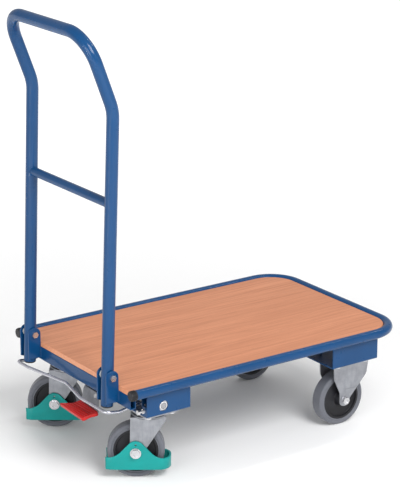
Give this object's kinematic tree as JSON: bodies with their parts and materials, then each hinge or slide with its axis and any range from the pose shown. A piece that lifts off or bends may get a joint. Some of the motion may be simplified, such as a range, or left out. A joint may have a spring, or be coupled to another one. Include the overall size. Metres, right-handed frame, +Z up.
{
  "type": "folding platform cart",
  "caption": "Platform cart with a wood deck in a bent tube frame, a folding push handle, two swivel and two fixed castors, and a pedal brake.",
  "frame": {"origin": "centre of the bounding box, on the floor under the wheels", "axes": "+X along the cart away from the handle, +Y to the left of someone pushing it, +Z up"},
  "size_m": [0.812, 0.493, 0.9971],
  "materials": {
    "blue_paint": "semi-gloss powder coat",
    "black_plastic": "matte",
    "deck_board": "satin beech decor",
    "zinc_bolt": "bright zinc",
    "nylon": "natural",
    "zinc_sheet": "bright zinc plated",
    "bright_wire": "zinc plated",
    "shaft_steel": "plain",
    "red_plastic": "moulded",
    "guard_plastic": "moulded",
    "tyre_rubber": "matte",
    "hub_plastic": "matte"
  },
  "bodies": {
    "frame": {"frame_tube": "blue_paint", "end_plugs": "black_plastic", "crossbar": "blue_paint", "deck_board": "deck_board", "deck_straps": "blue_paint", "deck_screws": "zinc_bolt", "swivel_bracket_right": "blue_paint", "swivel_bracket_left": "blue_paint", "fixed_bracket_right": "blue_paint", "fixed_bracket_left": "blue_paint", "castor_bolts": "zinc_bolt", "castor_nuts": "zinc_bolt", "stop_screws": "zinc_bolt", "hinge_bracket_right": "blue_paint", "hinge_bracket_left": "blue_paint", "pivot_bolts": "zinc_bolt", "pivot_nuts": "zinc_bolt", "pivot_washers": "nylon", "bail_lugs": "blue_paint", "swivel_plate_right": "zinc_sheet", "swivel_plate_left": "zinc_sheet", "swivel_head_right": "zinc_sheet", "swivel_head_left": "zinc_sheet", "king_pin_right": "zinc_bolt", "king_pin_left": "zinc_bolt", "fixed_fork_right": "zinc_sheet", "fixed_fork_left": "zinc_sheet", "fixed_axles": "zinc_bolt", "fixed_sleeves": "zinc_bolt", "shaft_bushes": "zinc_bolt"},
    "handle": {"handle_tube": "blue_paint", "handle_rung": "blue_paint", "post_plugs": "black_plastic", "pivot_sleeves": "nylon"},
    "bail": {"latch_bail": "bright_wire"},
    "brake": {"brake_shaft": "shaft_steel", "brake_cams": "shaft_steel", "brake_lever": "zinc_sheet", "lever_bolt": "zinc_bolt", "brake_pedal": "red_plastic", "pedal_screws": "zinc_bolt"},
    "plunger_right": {"brake_plunger_right": "shaft_steel"},
    "castor_right": {"swivel_fork_right": "zinc_sheet", "swivel_axle_right": "zinc_bolt", "swivel_sleeve_right": "zinc_bolt", "toe_guard_right": "guard_plastic"},
    "swivel_wheel_right": {"swivel_tyre_right": "tyre_rubber", "swivel_hub_right": "hub_plastic"},
    "fixed_wheel_right": {"fixed_tyre_right": "tyre_rubber", "fixed_hub_right": "hub_plastic"},
    "plunger_left": {"brake_plunger_left": "shaft_steel"},
    "castor_left": {"swivel_fork_left": "zinc_sheet", "swivel_axle_left": "zinc_bolt", "swivel_sleeve_left": "zinc_bolt", "toe_guard_left": "guard_plastic"},
    "swivel_wheel_left": {"swivel_tyre_left": "tyre_rubber", "swivel_hub_left": "hub_plastic"},
    "fixed_wheel_left": {"fixed_tyre_left": "tyre_rubber", "fixed_hub_left": "hub_plastic"}
  },
  "joints": [
    {"name": "handle_fold", "type": "hinge", "parent": "frame", "child": "handle", "pos_m": [-0.3545, 0, 0.25], "axis": [0, 1, 0], "range_deg": [0, 87.5]},
    {"name": "bail_lift", "type": "hinge", "parent": "frame", "child": "bail", "pos_m": [-0.284, 0, 0.18], "axis": [0, 1, 0], "range_deg": [0, 9.3]},
    {"name": "brake_pedal", "type": "hinge", "parent": "frame", "child": "brake", "pos_m": [-0.254, 0, 0.1785], "axis": [0, -1, 0], "range_deg": [0, 18]},
    {"name": "plunger_right", "type": "slide", "parent": "frame", "child": "plunger_right", "axis": [0, 0, -1], "range_m": [0, 0.003]},
    {"name": "castor_swivel_right", "type": "hinge", "parent": "frame", "child": "castor_right", "pos_m": [-0.254, -0.17, 0.144], "axis": [0, 0, 1], "continuous": true},
    {"name": "swivel_wheel_spin_right", "type": "hinge", "parent": "castor_right", "child": "swivel_wheel_right", "pos_m": [-0.27858, -0.15279, 0.0625], "axis": [0.5736, 0.8192, 0], "continuous": true},
    {"name": "fixed_wheel_spin_right", "type": "hinge", "parent": "frame", "child": "fixed_wheel_right", "pos_m": [0.264, -0.17, 0.0625], "axis": [0, 1, 0], "continuous": true},
    {"name": "plunger_left", "type": "slide", "parent": "frame", "child": "plunger_left", "axis": [0, 0, -1], "range_m": [0, 0.003]},
    {"name": "castor_swivel_left", "type": "hinge", "parent": "frame", "child": "castor_left", "pos_m": [-0.254, 0.17, 0.144], "axis": [0, 0, 1], "continuous": true},
    {"name": "swivel_wheel_spin_left", "type": "hinge", "parent": "castor_left", "child": "swivel_wheel_left", "pos_m": [-0.27858, 0.18721, 0.0625], "axis": [0.5736, 0.8192, 0], "continuous": true},
    {"name": "fixed_wheel_spin_left", "type": "hinge", "parent": "frame", "child": "fixed_wheel_left", "pos_m": [0.264, 0.17, 0.0625], "axis": [0, 1, 0], "continuous": true}
  ],
  "couplings": [
    {"joint": "plunger_right", "follows": "brake_pedal", "m_per_rad": 0.0095},
    {"joint": "plunger_left", "follows": "brake_pedal", "m_per_rad": 0.0095}
  ]
}
